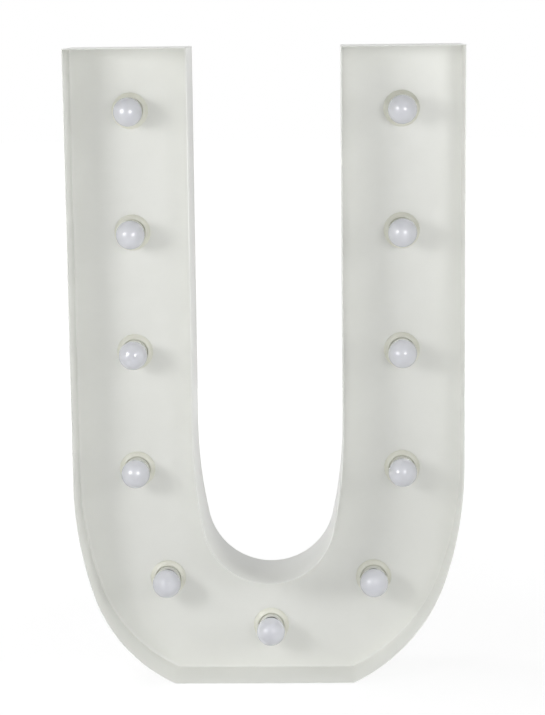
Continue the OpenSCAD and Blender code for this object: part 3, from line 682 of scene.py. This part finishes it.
for n in BULBS:
    bulb = f"bulb_{n:02d}"
    piece(at_bulb(globe, n), f"{bulb}_opal_globe", opal_globe, "opal_globe", bulb, f"bulb_globe_{n:02d}")
    piece(at_bulb(cap, n), f"{bulb}_screw_cap", cap_metal, "cap_metal", bulb, f"bulb_cap_{n:02d}")
    piece(at_bulb(insulator, n), f"{bulb}_insulator", insulator_glass, "black_moulding", bulb)
    piece(at_bulb(contact, n), f"{bulb}_end_contact", zinc_plate, "zinc_plate", bulb)
for bm in (globe, cap, insulator, contact):
    bm.free()


# Wiring
# Insulated wires run from holder to holder behind the plate, from a terminal block on the back panel
# to the inlet and the switch, with an earth wire to a stud on the base. Caps cover the holders' terminals.
def insulation(name, dark, light, stripe=None):
    """Soft wire insulation with a faint draw texture, and a spiral stripe on the earth wire."""
    coat = Coat(name)
    draw = coat.noise(700, 2)
    colour = coat.mix(coat.rise(coat.noise(60, 3), 0.3, 0.7), dark, light)
    if stripe:
        bands = coat.node("TexWave", {"Vector": coat.place, "Scale": 90.0, "Distortion": 1.0})
        colour = coat.mix(coat.rise(bands, 0.62, 0.70), colour, stripe)
    return coat.surface(Base_Color=colour, Roughness=0.42 + 0.12 * draw, Normal=coat.relief(draw, 0.00002))


dress(insulation("brown_insulation", (0.14, 0.055, 0.025, 1), (0.18, 0.075, 0.035, 1)), "live_wires")
dress(insulation("blue_insulation", (0.025, 0.11, 0.40, 1), (0.04, 0.15, 0.48, 1)), "neutral_wires")
earth_green = (0.08, 0.30, 0.05, 1), (0.11, 0.36, 0.07, 1)
dress(insulation("green_insulation", *earth_green, stripe=(0.72, 0.62, 0.08, 1)), "earth_wire")
nylon = moulding("terminal_moulding", (0.70, 0.69, 0.63, 1), (0.75, 0.74, 0.69, 1), 0.38, 0.00001)
dress(nylon, "terminal_block")
dress(zinc_plate, "terminal_screws", "earth_stud", "earth_nut")
dress(brass, "earth_lug")
dress(cream, "holder_caps")

# Back panel
# A removable panel of the same painted sheet, 10 mm in from the rear lips, with two keyholes for wall
# screws. Slotted pan head screws fix it to the brackets.
dress(white_paint, "back_panel")
dress(zinc_plate, "panel_screws")


# Power inlet and switch
# Black mouldings in the lower right of the back: a three-pin inlet held by two screws, and a rocker
# switch snapped into its cut-out, with a bar and a ring moulded on the rocker for on and off.
black = moulding("black_moulding", (0.016, 0.016, 0.017, 1), (0.026, 0.026, 0.028, 1), 0.36, 0.00003)
dress(black, "power_inlet", "switch_housing", "switch_rocker")
ease(0.0004, "power_inlet", "switch_housing")
ease(0.0003, "switch_rocker")
dress(brass, "inlet_pins", "switch_tabs")
dress(zinc_plate, "inlet_screws")

mark_white = moulding("mark_white", (0.70, 0.70, 0.68, 1), (0.76, 0.76, 0.74, 1), 0.45, 0.00001)
rocker_place = (0.120, 0.062, 0.050)
rocker_facet = math.radians(9)
rocker_pivot = Matrix.Translation(rocker_place) @ Matrix.Rotation(-rocker_facet, 4, "X")
facet_out = 0.0032
mark_up = 0.0045
mark_proud = 0.0003


def on_rocker(bm, name, way):
    """Sets a mark on the upper facet of the rocker, or with a way of -1 on the lower one."""
    place = Matrix.Translation((0, facet_out + mark_up * math.tan(rocker_facet), way * mark_up))
    turn = Matrix.Rotation(-way * rocker_facet, 4, "X")
    bmesh.ops.transform(bm, matrix=rocker_pivot @ place @ turn, verts=bm.verts[:])
    piece(bm, name, mark_white, "white_paint", "rocker")


bar_width, bar_height = 0.0005, 0.0028
bar = bmesh.new()
bmesh.ops.create_cube(bar, size=1)
bmesh.ops.scale(bar, verts=bar.verts[:], vec=(bar_width, mark_proud, bar_height))
bmesh.ops.recalc_face_normals(bar, faces=bar.faces[:])
soften(bar, width=0.00008)
on_rocker(bar, "rocker_mark_on", 1)

mark_in, mark_out = 0.0009, 0.0014
half = mark_proud / 2
ring_mark = bmesh.new()
ring_sides = [(mark_out, -half), (mark_out, half), (mark_in, half), (mark_in, -half)]
walk(ring_mark, (mark_in, -half, 0), [((x, y, 0), 0) for x, y in ring_sides], PROFILE_BENDS)
spin_round(ring_mark, steps=32)
on_rocker(ring_mark, "rocker_mark_off", -1)
